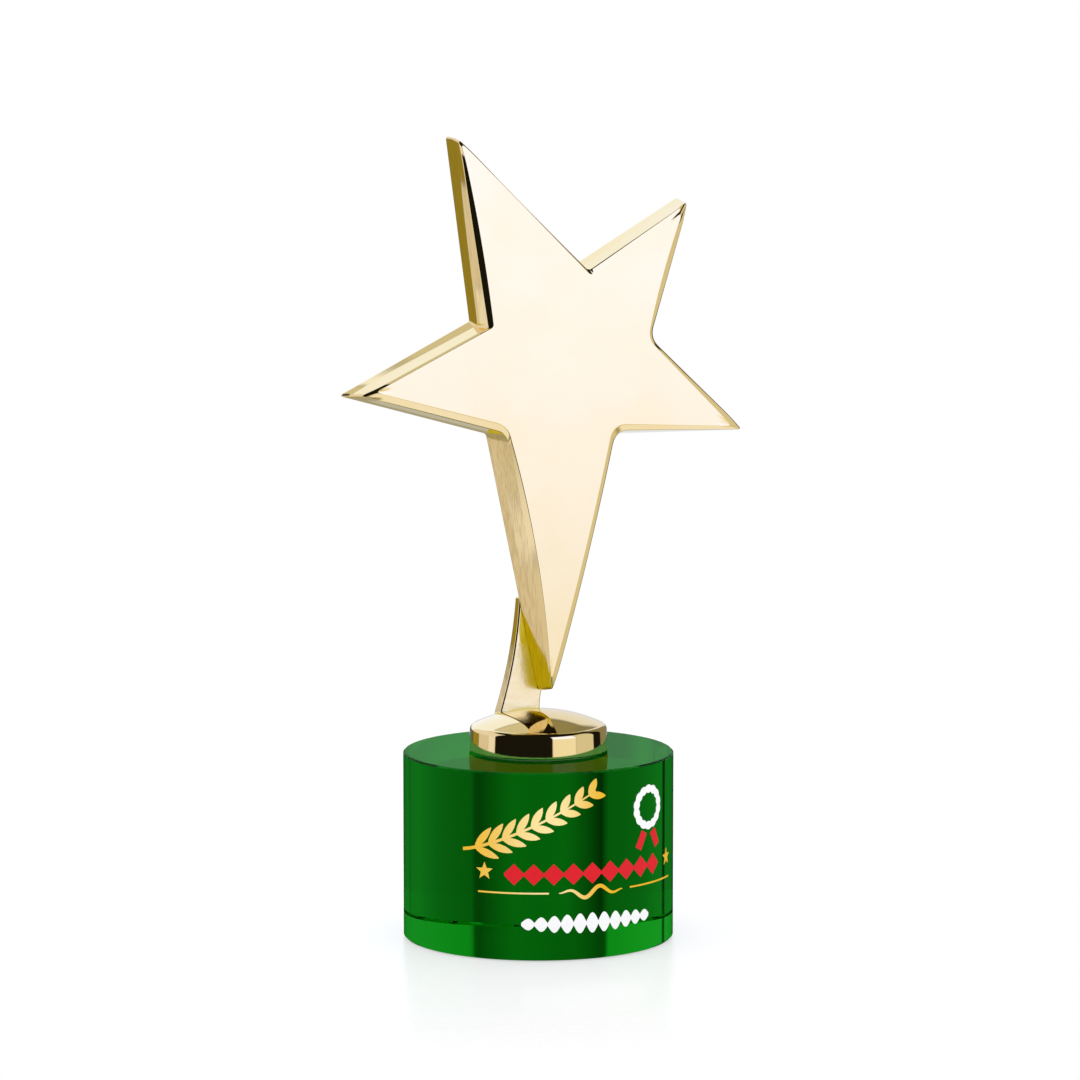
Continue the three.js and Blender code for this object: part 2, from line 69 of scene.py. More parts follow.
# A node tree, with one method that adds any node and one that gives one of its outputs.
class Graph:
    def __init__(self, tree):
        self.tree = tree
        tree.nodes.clear()

    def add(self, kind, settings=None, inputs=None):
        made = self.tree.nodes.new(kind)
        for key, value in (settings or {}).items():
            if key == "stops":
                ramp = made.color_ramp
                while len(ramp.elements) < len(value):
                    ramp.elements.new(1.0)
                for element, (place, colour) in zip(ramp.elements, value):
                    element.position = place
                    element.color = (*colour, 1.0) if len(colour) == 3 else colour
            else:
                setattr(made, key, value)
        for key, value in (inputs or {}).items():
            if isinstance(value, Wire):
                self.tree.links.new(value.socket, made.inputs[key])
            else:
                made.inputs[key].default_value = value
        return made

    def wire(self, kind, settings=None, inputs=None, output=0):
        return Wire(self, self.add(kind, settings, inputs).outputs[output])

    def mixColour(self, amount, first, second):
        made = self.add("ShaderNodeMix", {"data_type": "RGBA"})
        for socket, value in ((0, amount), (6, first), (7, second)):
            if isinstance(value, Wire):
                self.tree.links.new(value.socket, made.inputs[socket])
            elif socket == 0:
                made.inputs[socket].default_value = value
            else:
                made.inputs[socket].default_value = (*value, 1.0)
        return Wire(self, made.outputs[2])


def newMaterial(name):
    material = bpy.data.materials.new(name)
    material.use_nodes = True
    return material, Graph(material.node_tree)


def finishMaterial(graph, shader, volume=None):
    out = graph.add("ShaderNodeOutputMaterial")
    graph.tree.links.new(shader.outputs[0], out.inputs["Surface"])
    if volume:
        graph.tree.links.new(volume.outputs[0], out.inputs["Volume"])


def objectCoords(graph):
    return graph.wire("ShaderNodeTexCoord", output="Object")


view = {
    "azimuth": -23.0,        # degrees, seen from in front of the star, minus is to its left
    "distance": 1.524,       # level distance from the base's axis
    "height": 0.3132,
    "pitch": 7.302,
    "sideStep": 0.0005,
    "lens": 173.86,
}


def makeCamera():
    turn = radians(view["azimuth"])
    data = bpy.data.cameras.new("camera")
    data.lens = view["lens"]
    data.sensor_width = 36.0
    data.clip_start = 0.05
    data.clip_end = 50.0
    camera = bpy.data.objects.new("camera", data)
    camera.location = (view["distance"] * sin(turn) + view["sideStep"] * cos(turn),
                       -view["distance"] * cos(turn) + view["sideStep"] * sin(turn), view["height"])
    camera.rotation_euler = (radians(90 - view["pitch"]), 0, turn)
    scene.collection.objects.link(camera)
    scene.camera = camera


studio = {
    "even": 1.04,            # light on everything that isn't polished
    "room": (0.010, 0.009, 0.007),
    # soft boxes and screens round the trophy: azimuths from the camera's side in degrees, plus is
    # to the right, then elevations, the softness of the edges and the colour
    "cards": {
        "behind": ((-210, 210), (-24, 3), (3, 3), (0.13, 0.14, 0.13)),
        "behindFoot": ((-210, 210), (-24, -8.8), (3, 0.3), (0.72, 0.78, 0.95)),
        "straightLeft": ((-210, -171), (-24, 3), (1.5, 3), (0.80, 0.85, 0.95)),
        "straightRight": ((171, 210), (-24, 3), (1.5, 3), (0.80, 0.85, 0.95)),
        "front": ((-143, 143), (-40, 90), (3, 3), (0.010, 0.009, 0.007)),
        "backLeft": ((-210, -143), (3, 40), (3, 2), (1.00, 1.08, 1.35)),
        "backLeftHigh": ((-210, -143), (40, 66), (3, 2), (0.68, 0.66, 0.58)),
        "backRight": ((164, 210), (3, 34), (3, 3), (0.85, 0.86, 0.95)),
        "backRightHigh": ((158, 210), (34, 66), (3, 4), (0.30, 0.27, 0.16)),
        "leftDim": ((-141, -118), (-40, 3), (1.5, 3), (0.31, 0.25, 0.035)),
        "leftHigh": ((-143, -77), (3, 50), (1.5, 3), (0.86, 0.82, 0.92)),
        "left": ((-118, -92), (-50, 6), (1.2, 3), (0.74, 0.69, 0.70)),
        "leftBright": ((-92, -77), (-50, 6), (1.2, 3), (0.90, 0.88, 1.02)),
        "key": ((24, 66), (-70, 42), (1.5, 5), (1.13, 1.27, 2.30)),
        "right": ((66, 105), (-50, 44), (1.2, 4), (0.72, 0.69, 0.62)),
        "rightDim": ((127, 164), (-40, 44), (2, 4), (0.26, 0.24, 0.16)),
        "low": ((-210, 210), (-100, -22), (1, 5), (0.42, 0.39, 0.28)),
        "table": ((-110, 110), (-100, -32), (6, 5), (0.97, 0.97, 1.16)),
    },
    # light that gold throws on gold: what a twice reflected ray mostly sees in place of the cards,
    # and the elevations over which that fades out
    "glow": (0.64, 0.66, 0.015),
    "glowShare": 0.85,
    "glowFade": (12.0, 28.0),
    # what the crystal's mirror-smooth surface reflects, below the horizon and above it
    "mirroredLow": (0.02, 0.04, 0.03),
    "mirroredHigh": (0.70, 1.90, 0.85),
    # the key card's colour low down, and the elevations over which it goes over to its own
    "keyLow": (0.94, 0.91, 0.90),
    "keyFade": (-4.0, 7.0),
    # what shows through the crystal by azimuth, as grey: a dim opening straight behind it, walls
    # beside that and thin dark gaps. Low is looking down through it, high is by way of its underside.
    "horizon": (-3.0, 3.0),   # where low goes over to high
    "behindLow": [
        (-180, 0.34), (-172, 0.36), (-166, 0.21), (-161, 0.08), (-159.5, 0.06), (-158.5, 0.28),
        (-143, 0.31), (-127, 0.42), (-122, 0.42), (-120.5, 0.02), (-118.5, 0.02), (-117, 0.42),
        (-100, 0.50), (-80, 0.05), (20, 0.05), (60, 0.60), (108, 0.50), (113, 0.42), (114, 0.25),
        (115, 0.42), (127, 0.42), (143, 0.31), (159.5, 0.26), (160.5, 0.12), (163, 0.15),
        (167, 0.24), (173, 0.36), (180, 0.34),
    ],
    "behindHigh": [
        (-180, 0.34), (-168, 0.27), (-161, 0.15), (-159, 0.13), (-158, 0.70), (-143, 0.77),
        (-122, 0.8), (-120.5, 0.05), (-118.5, 0.05), (-117, 0.8), (-80, 0.8), (80, 0.7),
        (158.5, 0.66), (160.5, 0.13), (167, 0.25), (173, 0.36), (180, 0.34),
    ],
}


# The backdrop is plain white to the camera. Polished surfaces see cards round the trophy: a card
# counts between its azimuths and its elevations, each with a soft edge, and later cards cover
# earlier ones. Rays that gold has already turned once get some of the glow. The crystal's
# mirror-smooth surface reflects two tones of its own and lets through a ring of lighter and
# darker walls. Everything else gets even light from all round.
def makeStudio():
    world = bpy.data.worlds.new("studio")
    scene.world = world
    world.use_nodes = True
    graph = Graph(world.node_tree)
    direction = graph.wire("ShaderNodeTexCoord", output="Generated")
    parts = graph.add("ShaderNodeSeparateXYZ", inputs={0: direction})
    x, y, z = (Wire(graph, socket) for socket in parts.outputs)
    turn = radians(view["azimuth"])
    toRight = x * cos(turn) + y * sin(turn)
    toCamera = x * sin(turn) - y * cos(turn)
    around = toRight.maths("ARCTAN2", toRight, toCamera) * (180 / pi)
    rise = z.maths("ARCSINE", z) * (180 / pi)
    rays = graph.add("ShaderNodeLightPath")

    seen = studio["room"]
    for name, (turns, rises, soft, colour) in studio["cards"].items():
        mask = around.between(turns[0] - soft[0], turns[0] + soft[0])
        mask = mask * around.between(turns[1] - soft[0], turns[1] + soft[0], 1.0, 0.0)
        mask = mask * rise.between(rises[0] - soft[1], rises[0] + soft[1])
        mask = mask * rise.between(rises[1] - soft[1], rises[1] + soft[1], 1.0, 0.0)
        if name == "key":
            colour = graph.mixColour(rise.between(*studio["keyFade"]), studio["keyLow"], colour)
        seen = graph.mixColour(mask, seen, colour)
    rings = []
    for name in ("behindLow", "behindHigh"):
        stops = [((angle + 180) / 360, (grey,) * 3) for angle, grey in studio[name]]
        rings.append(graph.wire("ShaderNodeValToRGB", {"stops": stops}, {"Fac": around / 360 + 0.5}))
    overHorizon = rise.between(*studio["horizon"])
    behind = graph.mixColour(overHorizon, *rings)
    twice = Wire(graph, rays.outputs["Glossy Depth"]).between(1.2, 1.8)
    glow = twice * rise.between(*studio["glowFade"], 1.0, 0.0) * studio["glowShare"]
    seen = graph.mixColour(glow, seen, studio["glow"])
    mirrored = graph.mixColour(overHorizon, studio["mirroredLow"], studio["mirroredHigh"])
    seen = graph.mixColour(Wire(graph, rays.outputs["Is Singular Ray"]), seen, mirrored)
    seen = graph.mixColour(Wire(graph, rays.outputs["Is Transmission Ray"]), seen, behind)
    seen = graph.mixColour(Wire(graph, rays.outputs["Is Diffuse Ray"]), seen, (studio["even"],) * 3)
    seen = graph.mixColour(Wire(graph, rays.outputs["Is Camera Ray"]), seen, (1.0, 1.0, 1.0))
    shader = graph.add("ShaderNodeBackground", inputs={"Color": seen, "Strength": 1.0})
    out = graph.add("ShaderNodeOutputWorld")
    graph.tree.links.new(shader.outputs[0], out.inputs["Surface"])


floorShape = {
    "radius": 0.16,
    "gap": 0.3,              # below the crystal, in mm
    "rings": 24,
    "around": 96,
    "fade": (0.62, 0.98),    # shares of the radius between which it fades out
    "glow": 0.52,
    "albedo": 0.50,
    "roughness": 0.25,
}


# A flat disc whose edge fades out into the white backdrop.
def makeFloor():
    radius = np.linspace(0, 1, floorShape["rings"] + 1)[1:] * floorShape["radius"]
    angle = np.linspace(0, 2 * pi, floorShape["around"], endpoint=False)
    rings = np.stack([radius[:, None] * np.cos(angle), radius[:, None] * np.sin(angle),
                      np.zeros((len(radius), len(angle)))], axis=2)
    rings[..., 2] -= floorShape["gap"] * mm
    floor = meshFromRings("floor", rings, start=(0, 0, -floorShape["gap"] * mm))
    material, graph = newMaterial("paleFloor")
    away = graph.wire("ShaderNodeVectorMath", {"operation": "LENGTH"}, {0: objectCoords(graph)},
                      output="Value")
    base = graph.add("ShaderNodeBsdfPrincipled", inputs={
        "Base Color": (floorShape["albedo"],) * 3 + (1,),
        "Roughness": floorShape["roughness"], "IOR": 1.15,
        "Emission Color": (1, 1, 1, 1), "Emission Strength": floorShape["glow"]})
    clear = graph.add("ShaderNodeBsdfTransparent")
    fade = away.between(*(floorShape["radius"] * share for share in floorShape["fade"]))
    mixed = graph.add("ShaderNodeMixShader", inputs={0: fade})
    graph.tree.links.new(base.outputs[0], mixed.inputs[1])
    graph.tree.links.new(clear.outputs[0], mixed.inputs[2])
    finishMaterial(graph, mixed)
    floor.data.materials.append(material)
    floor.visible_glossy = False
    floor.visible_transmission = False


# A skin over closed rings of equal length, each joined to the next, with a point at either end
# where one is given. Faces are turned outwards by the sign of the volume.
def meshFromRings(name, rings, start=None, end=None, sharp=None):
    count, around = rings.shape[:2]
    points = [rings.reshape(-1, 3)]
    ring = np.arange(count * around).reshape(count, around)
    following = np.roll(ring, -1, axis=1)
    quads = np.stack([ring[:-1], following[:-1], following[1:], ring[1:]], axis=2).reshape(-1, 4)
    faces = quads.tolist()
    extra = count * around
    if start is not None:
        points.append(np.array([start]))
        faces += np.stack([following[0], ring[0], np.full(around, extra)], axis=1).tolist()
        extra += 1
    if end is not None:
        points.append(np.array([end]))
        faces += np.stack([ring[-1], following[-1], np.full(around, extra)], axis=1).tolist()
    points = np.concatenate(points)
    a, b, c = points[quads[:, 0]], points[quads[:, 1]], points[quads[:, 2]]
    d = points[quads[:, 3]]
    volume = np.einsum("ij,ij->", a, np.cross(b, c)) + np.einsum("ij,ij->", a, np.cross(c, d))
    if volume < 0:
        faces = [face[::-1] for face in faces]
    mesh = bpy.data.meshes.new(name)
    mesh.from_pydata(points.tolist(), [], faces)
    mesh.shade_smooth()
    if sharp:
        mesh.set_sharp_from_angle(angle=radians(sharp))
    mesh.update()
    made = bpy.data.objects.new(name, mesh)
    scene.collection.objects.link(made)
    return made


# A profile of (radius, height) points carried round the z axis, from pole to pole.
def turned(name, profile, around, sharp):
    angle = np.linspace(0, 2 * pi, around, endpoint=False)
    radius, height = profile[1:-1, 0], profile[1:-1, 1]
    rings = np.stack([radius[:, None] * np.cos(angle), radius[:, None] * np.sin(angle),
                      np.repeat(height[:, None], around, axis=1)], axis=2)
    return meshFromRings(name, rings, (0, 0, profile[0, 1]), (0, 0, profile[-1, 1]), sharp)


# Points on a circle about (radius, height), from one angle to another in degrees.
def arc(centre, size, fromAngle, toAngle, steps, before=0.0, after=0.0):
    angle = np.radians(np.linspace(fromAngle, toAngle, steps + 1))
    points = np.stack([centre[0] + size * np.cos(angle), centre[1] + size * np.sin(angle)], axis=1)
    tangent = np.stack([-np.sin(angle), np.cos(angle)], axis=1)
    return np.concatenate([points[:1] - tangent[:1] * before, points, points[-1:] + tangent[-1:] * after])


# Gives a new piece its material, puts it on the root body and hides the CAD nodes that it stands for. The
# slot is not used.
def place(piece, nodes, slot, material):
    piece.data.materials.append(material)
    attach(piece, "root")
    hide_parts(*nodes)


lean = {"angle": radians(5.4), "origin": np.array([0.0, 8.0, 66.5]) * mm}


# Points of the leaning frame (x, depth, up the star) placed in the object's frame.
def fromLeaning(points):
    slope = np.array([[1, 0, 0], [0, cos(lean["angle"]), sin(lean["angle"])],
                      [0, -sin(lean["angle"]), cos(lean["angle"])]])
    return points @ slope.T + lean["origin"]


star = {
    "thickness": 10.9,
    "shoulderDepth": 10.0,
    "tipReach": 10.0,        # how far from a tip its face starts to fall back
    "centre": (5.0, 105.0),
    "crown": 0.12,           # how far the middle of the face stands out
    "crownReach": 70.0,      # how far from the middle the face is back at its thickness
    "cornerSteps": 12,
    "sideSteps": 28,
    "backEdge": 0.5,         # rounding of the edges, from the back to the face
    "creaseEdge": 0.9,
    "faceEdge": 0.2,
    "edgeSteps": 5,
    "edgeShare": 0.42,       # the most of a flat that one rounding may take
    "capRings": 26,          # rings that fill the back and the face
    "linedRings": 18,        # rings from the back's edge to the shoulder, with polishing lines
    # corners of the back, clockwise from the upper left point. at: its place. round: rounding of
    # the corner on the back and on the face. fall: how far the face drops back at a tip.
    # The rest belongs to the side that starts there. shoulder and face: how far they are in from
    # the back's edge at both ends. bow: how much further in they are halfway. lift: how far the
    # shoulder's depth differs halfway from 10, how level that is, and what share of it is left
    # at both ends. crease: its depth and its share of the inset. edge: how far the shoulder is
    # rounded. streaks: how strong the polishing lines are on the wall, 0 where it isn't given.
    "corners": [
        {"at": (-19.7, 171.4), "round": (1.0, 0.6), "fall": 1.2, "shoulder": (1.3, 1.1),
         "face": (1.9, 1.9), "bow": (0.2, 0.0), "lift": (0.0, 2, 0, 0),
         "crease": (5.0, 0.4), "edge": 0.3},
        {"at": (20.1, 131.2), "round": (0.8, 1.6), "fall": 0.0, "shoulder": (1.9, 1.0),
         "face": (3.6, 2.6), "bow": (0.0, 0.0), "lift": (0.55, 10, 1, 0),
         "crease": (4.1, 0.5), "edge": 0.3},
        {"at": (55.1, 150.8), "round": (0.7, 0.6), "fall": 1.2, "shoulder": (0.5, 1.1),
         "face": (2.0, 2.3), "bow": (0.0, 0.6), "lift": (0.3, 10, 0, 1),
         "crease": (5.0, 0.4), "edge": 0.6},
        {"at": (41.0, 109.0), "round": (5.0, 6.0), "fall": 0.0, "shoulder": (1.1, 1.1),
         "face": (2.2, 3.3), "bow": (0.0, 0.0), "lift": (0.25, 10, 1, 0),
         "crease": (5.0, 0.4), "edge": 1.0},
        {"at": (71.2, 79.9), "round": (0.8, 0.6), "fall": 1.2, "shoulder": (0.2, 1.1),
         "face": (1.1, 2.8), "bow": (0.0, 0.0), "lift": (0.0, 2, 0, 0),
         "crease": (5.0, 0.4), "edge": 0.3},
        {"at": (29.1, 80.5), "round": (5.5, 5.5), "fall": 0.0, "shoulder": (1.8, 0.9),
         "face": (3.4, 2.6), "bow": (-0.7, -0.7), "lift": (0.25, 10, 1, 0),
         "crease": (5.0, 0.4), "edge": 0.6},
        {"at": (4.0, 1.6), "round": (1.9, 0.4), "fall": 1.0, "shoulder": (0.2, 3.0),
         "face": (0.5, 3.4), "bow": (1.4, 2.0), "lift": (-1.54, 2, 0, 0),
         "crease": (3.0, 0.3), "edge": 0.3, "streaks": 1.0},
        {"at": (-10.4, 82.1), "round": (1.5, 6.5), "fall": 0.0, "shoulder": (0.8, 0.8),
         "face": (2.9, 2.7), "bow": (0.0, 0.0), "lift": (0.0, 2, 0, 0),
         "crease": (4.1, 0.45), "edge": 0.3},
        {"at": (-56.4, 95.1), "round": (0.6, 0.6), "fall": 5.0, "shoulder": (2.0, 2.9),
         "face": (2.6, 3.3), "bow": (0.0, 0.0), "lift": (0.0, 2, 0, 0),
         "crease": (4.1, 0.5), "edge": 0.3},
        {"at": (-14.3, 115.6), "round": (0.6, 1.4), "fall": 0.0, "shoulder": (2.0, 0.1),
         "face": (3.1, 0.4), "bow": (0.0, 0.7), "lift": (0.0, 2, 0, 0),
         "crease": (6.2, 0.12), "edge": 0.3, "streaks": 0.6},
    ],
}


def cornerValues(key):
    return np.array([corner[key] for corner in star["corners"]])


# A value that each side has, for every point of an outline: it goes evenly from one side's to
# the next one's round the corner between them.
def roundOutline(values):
    t = np.linspace(0, 1, star["cornerSteps"] + 1)[None, :]
    atCorner = np.roll(values, 1)[:, None] * (1 - t) + values[:, None] * t
    atSide = np.repeat(values[:, None], star["sideSteps"] - 1, axis=1)
    return np.concatenate([atCorner, atSide], axis=1).reshape(-1)


# How far the shoulder's depth differs from its usual one at every point: along a side it swells
# by its levelness, and round a corner it goes evenly from one side's end to the next one's start.
def shoulderLift():
    amount, levelness, atStart, atEnd = cornerValues("lift").T[..., None]
    t = np.linspace(0, 1, star["cornerSteps"] + 1)[None, :]
    atCorner = np.roll(amount * atEnd, 1, axis=0) * (1 - t) + amount * atStart * t
    t = sideShare().reshape(len(amount), -1)[:, star["cornerSteps"] + 1:]
    least = np.where(t < 0.5, atStart, atEnd)
    atSide = amount * np.maximum(1 - np.abs(2 * t - 1) ** levelness, least)
    return np.concatenate([atCorner, atSide], axis=1).reshape(-1)


# How far each outline point is along its side, from 0 to 1, crowded towards the corners.
def sideShare():
    t = 0.5 - 0.5 * np.cos(np.linspace(0, pi, star["sideSteps"] + 1)[1:-1])
    rows = np.concatenate([np.zeros(star["cornerSteps"] + 1), t])
    return np.tile(rows, len(star["corners"]))


# The star's outline at one level: each side's line moves in by its inset times share, plus
# extra. A corner is where two sides' lines cross, rounded by a quadratic curve, and a side
# bellies in by a parabola.
def starOutline(line, share, rounding, extra=0.0):
    corner, roundings, insets = cornerValues("at"), cornerValues("round"), cornerValues(line)
    share = np.ones(len(corner)) * share
    bow = cornerValues("bow")[:, 0 if line == "shoulder" else 1] * share
    after = np.roll(corner, -1, axis=0)
    along = after - corner
    along /= np.linalg.norm(along, axis=1, keepdims=True)
    inward = np.stack([along[:, 1], -along[:, 0]], axis=1)
    start = corner + inward * (insets[:, 0] * share + extra)[:, None]
    end = after + inward * (insets[:, 1] * share + extra)[:, None]
    startBefore, endBefore = np.roll(start, 1, axis=0), np.roll(end, 1, axis=0)

    def cross(first, second):
        return first[:, 0] * second[:, 1] - first[:, 1] * second[:, 0]

    before, here = endBefore - startBefore, end - start
    reach = cross(start - startBefore, here) / cross(before, here)
    peak = startBefore + before * reach[:, None]
    back, ahead = startBefore - peak, end - peak
    back /= np.linalg.norm(back, axis=1, keepdims=True)
    ahead /= np.linalg.norm(ahead, axis=1, keepdims=True)
    half = np.arccos((back * ahead).sum(axis=1)) / 2
    radius = roundings[:, 0] * (1 - rounding) + roundings[:, 1] * rounding
    length = (radius / np.tan(half))[:, None]
    entry, leave = peak + back * length, peak + ahead * length
    t = np.linspace(0, 1, star["cornerSteps"] + 1)[None, :, None]
    curve = entry[:, None] * (1 - t) ** 2 + peak[:, None] * 2 * t * (1 - t) + leave[:, None] * t ** 2
    t = sideShare().reshape(len(corner), -1)[:, star["cornerSteps"] + 1:, None]
    side = leave[:, None] * (1 - t) + np.roll(entry, -1, axis=0)[:, None] * t
    side = side + inward[:, None] * bow[:, None, None] * 4 * t * (1 - t)
    return np.concatenate([curve, side], axis=1).reshape(-1, 2)


# Outline points raised to a depth, less a smooth fall towards each tip.
def raised(flat, depth):
    share = np.ones(len(flat))
    for tip, fall in zip(cornerValues("at"), cornerValues("fall")):
        near = np.clip(np.linalg.norm(flat - tip, axis=1) / star["tipReach"], 0, 1)
        share -= fall / star["thickness"] * (1 - near ** 2 * (3 - 2 * near))
    return np.stack([flat[:, 0], -depth * share, flat[:, 1]], axis=1)


# The face is a very flat bowl turned over: its depth falls with the square of the distance.
def onFace(flat):
    away = np.linalg.norm(flat - np.array(star["centre"]), axis=1) / star["crownReach"]
    return raised(flat, star["thickness"] - star["crown"] * (away ** 2 - 1))


# Rings through the key outlines. Each inner outline is rounded by a quadratic curve over the
# given size, with a ring close beside either end of it so that the flats shade flat.
def roundedSection(keys, sizes, steps):
    rings = []
    for before, here, after, size in zip(keys, keys[1:], keys[2:], sizes):
        legs = before - here, after - here
        lengths = [np.linalg.norm(leg, axis=1, keepdims=True) for leg in legs]
        units = [leg / np.maximum(length, 1e-9) for leg, length in zip(legs, lengths)]
        entry, leave = (here + unit * np.minimum(size, star["edgeShare"] * length)
                        for unit, length in zip(units, lengths))
        beside = [np.minimum(0.1, 0.05 * length) for length in lengths]
        rings.append(entry + units[0] * beside[0])
        for t in np.linspace(0, 1, steps + 1):
            rings.append(entry * (1 - t) ** 2 + here * 2 * t * (1 - t) + leave * t ** 2)
        rings.append(leave + units[1] * beside[1])
    return rings


# Back, wall and face as one run of rings: the back's and the face's rings shrink evenly towards the
# middle, and the wall's go through the rounded key outlines.
def makeStar(material):
    centre = np.array(star["centre"])
    crease = cornerValues("crease")
    backInner = starOutline("shoulder", 0, 0, 1.2)
    faceInner = starOutline("face", 1, 1, 1.0)
    keys = [
        raised(backInner, 0.0),
        raised(starOutline("shoulder", 0, 0), 0.0),
        raised(starOutline("shoulder", crease[:, 1], 0.3), roundOutline(crease[:, 0])),
        raised(starOutline("shoulder", 1, 0.7), star["shoulderDepth"] + shoulderLift()),
        onFace(starOutline("face", 1, 1)),
        onFace(faceInner),
    ]
    sizes = [star["backEdge"], star["creaseEdge"], roundOutline(cornerValues("edge"))[:, None],
             star["faceEdge"]]
    wall = roundedSection(keys, sizes, star["edgeSteps"])
    shrink = np.concatenate([[1.0], np.linspace(0.985, 0.04, star["capRings"])])
    back = [centre + (backInner - centre) * share for share in shrink[::-1]]
    back = [np.stack([ring[:, 0], np.zeros(len(ring)), ring[:, 1]], axis=1) for ring in back]
    face = [onFace(centre + (faceInner - centre) * share) for share in shrink]
    rings = np.array(back + wall + face) * mm
    poleBack = np.array([[centre[0], 0, centre[1]]]) * mm
    poleFace = onFace(centre[None]) * mm
    made = meshFromRings("star_polished", fromLeaning(rings), fromLeaning(poleBack)[0],
                         fromLeaning(poleFace)[0])
    # how strongly the polishing lines show: only on the walls of the sides that have them
    onWall = np.zeros(len(made.data.vertices), dtype=np.float32)
    around = rings.shape[1]
    lined = roundOutline(np.array([corner.get("streaks", 0.0) for corner in star["corners"]]))
    first = len(back) * around
    onWall[first:first + star["linedRings"] * around] = np.tile(lined, star["linedRings"])
    made.data.attributes.new("wall", "FLOAT", "POINT").data.foreach_set("value", onWall)
    place(made, ["star"], "gold_plate", material)


foot = {
    "radius": 20.6, "bottom": 55.5, "wall": 6.0, "lowRounding": 0.5, "topRounding": 1.8,
    "domeRadius": 45.7, "rim": 4.5, "hollow": 4.6,
    "draft": 0.3,            # how much narrower the wall is at its top
}


# The height of the dome's centre, and the dome's slope where it meets the rim's rounding: that is
# where a circle of the rounding's size lies inside the dome and touches it.
def domeCentre():
    reach = foot["radius"] - foot["topRounding"] - foot["draft"]
    inner = foot["domeRadius"] - foot["topRounding"]
    slope = np.arcsin(reach / inner)
    return foot["bottom"] + foot["wall"] - inner * np.cos(slope), slope


# Ceiling and inner wall of the hollow, then the wall between its two roundings, then the dome.
def makeFoot(material):
    centre, slope = domeCentre()
    low, top = foot["lowRounding"], foot["topRounding"]
    ceiling = foot["bottom"] + foot["hollow"]
    inner = foot["radius"] - foot["rim"]
    domeAngle = 90 - np.degrees(slope)
    profile = np.concatenate([
        [(0, ceiling), (inner, ceiling), (inner, foot["bottom"])],
        arc((foot["radius"] - low, foot["bottom"] + low), low, -90, 3, 12, 0.1, 0.1),
        arc((foot["radius"] - top - foot["draft"], foot["bottom"] + foot["wall"]), top, 3, domeAngle,
            16, 0.1),
        arc((0, centre), foot["domeRadius"], domeAngle, 90, 40)[1:],
    ]) * mm
    made = turned("foot_dome_polished", profile, 256, 40)
    place(made, ["foot_dome"], "gold_plate", material)


crystal = {
    "radius": 40.0, "height": 55.2, "chamfer": 0.5, "rings": 9,
    "tint": (0.0, 0.80, 0.14),
    "density": 68.0,         # how fast the tint deepens, per metre
    "shine": 0.2,            # how much of the surface reflection the sides and the top keep
}


# A cylinder with a chamfer at either end, with rings across its flats and up its wall.
def makeCrystal():
    radius, height, chamfer = crystal["radius"], crystal["height"], crystal["chamfer"]
    count = crystal["rings"]
    flat = np.linspace(0, 1, count)[1:, None] * np.array([radius - chamfer, 0])
    wall = np.stack([np.full(count, radius), np.linspace(chamfer, height - chamfer, count)], axis=1)
    profile = np.concatenate([[(0, 0)], flat, wall, flat[::-1] + [0, height], [(0, height)]]) * mm
    made = turned("crystal_base_clear", profile, 320, 20)
    place(made, ["crystal_base"], "crystal", crystalMaterial("greenCrystal", crystal["shine"]))
    made.data.materials.append(crystalMaterial("greenCrystalUnderside", 1.0))
    lowest = [face.index for face in made.data.polygons if face.center.z < 0.01 * mm]
    for index in lowest:
        made.data.polygons[index].material_index = 1


fin = {
    "left": [(-9.8, -4.0), (-7.6, 4.0), (-3.6, 12.0), (-1.3, 32.2)],
    "right": [(4.1, -4.0), (3.4, 5.5), (6.3, 7.5), (7.2, 12.5), (8.6, 20.5), (5.2, 30.5), (-0.2, 33.2)],
    "bottom": -4.0,
    "top": 32.6,             # where the rounded end starts
    "cap": 0.9,              # height of the rounded end
    "front": 0.12,           # gap behind the star's back
    "thickness": 4.8,
    "topThickness": 3.5,
    "fullHeight": 33.6,      # where the top thickness is reached
    "rounding": 0.55,
    "rows": 90,
    "cornerSteps": 6,
}


# A cubic curve from the first point to the last, drawn towards the two between them.
def bezier(points, t):
    a, b, c, d = (np.array(point) for point in points)
    t = t[:, None]
    return a * (1 - t) ** 3 + 3 * b * t * (1 - t) ** 2 + 3 * c * t ** 2 * (1 - t) + d * t ** 3


# The fin's left and right edge as arrays of matching heights.
def finEdges():
    t = np.linspace(0, 1, 400)
    left = bezier(fin["left"], t)
    right = np.concatenate([bezier(fin["right"][:4], t), bezier(fin["right"][3:], t)[1:]])
    height = np.linspace(fin["bottom"], fin["top"], fin["rows"])
    edges = [np.interp(height, edge[:, 1], edge[:, 0]) for edge in (left, right)]
    return height, *edges


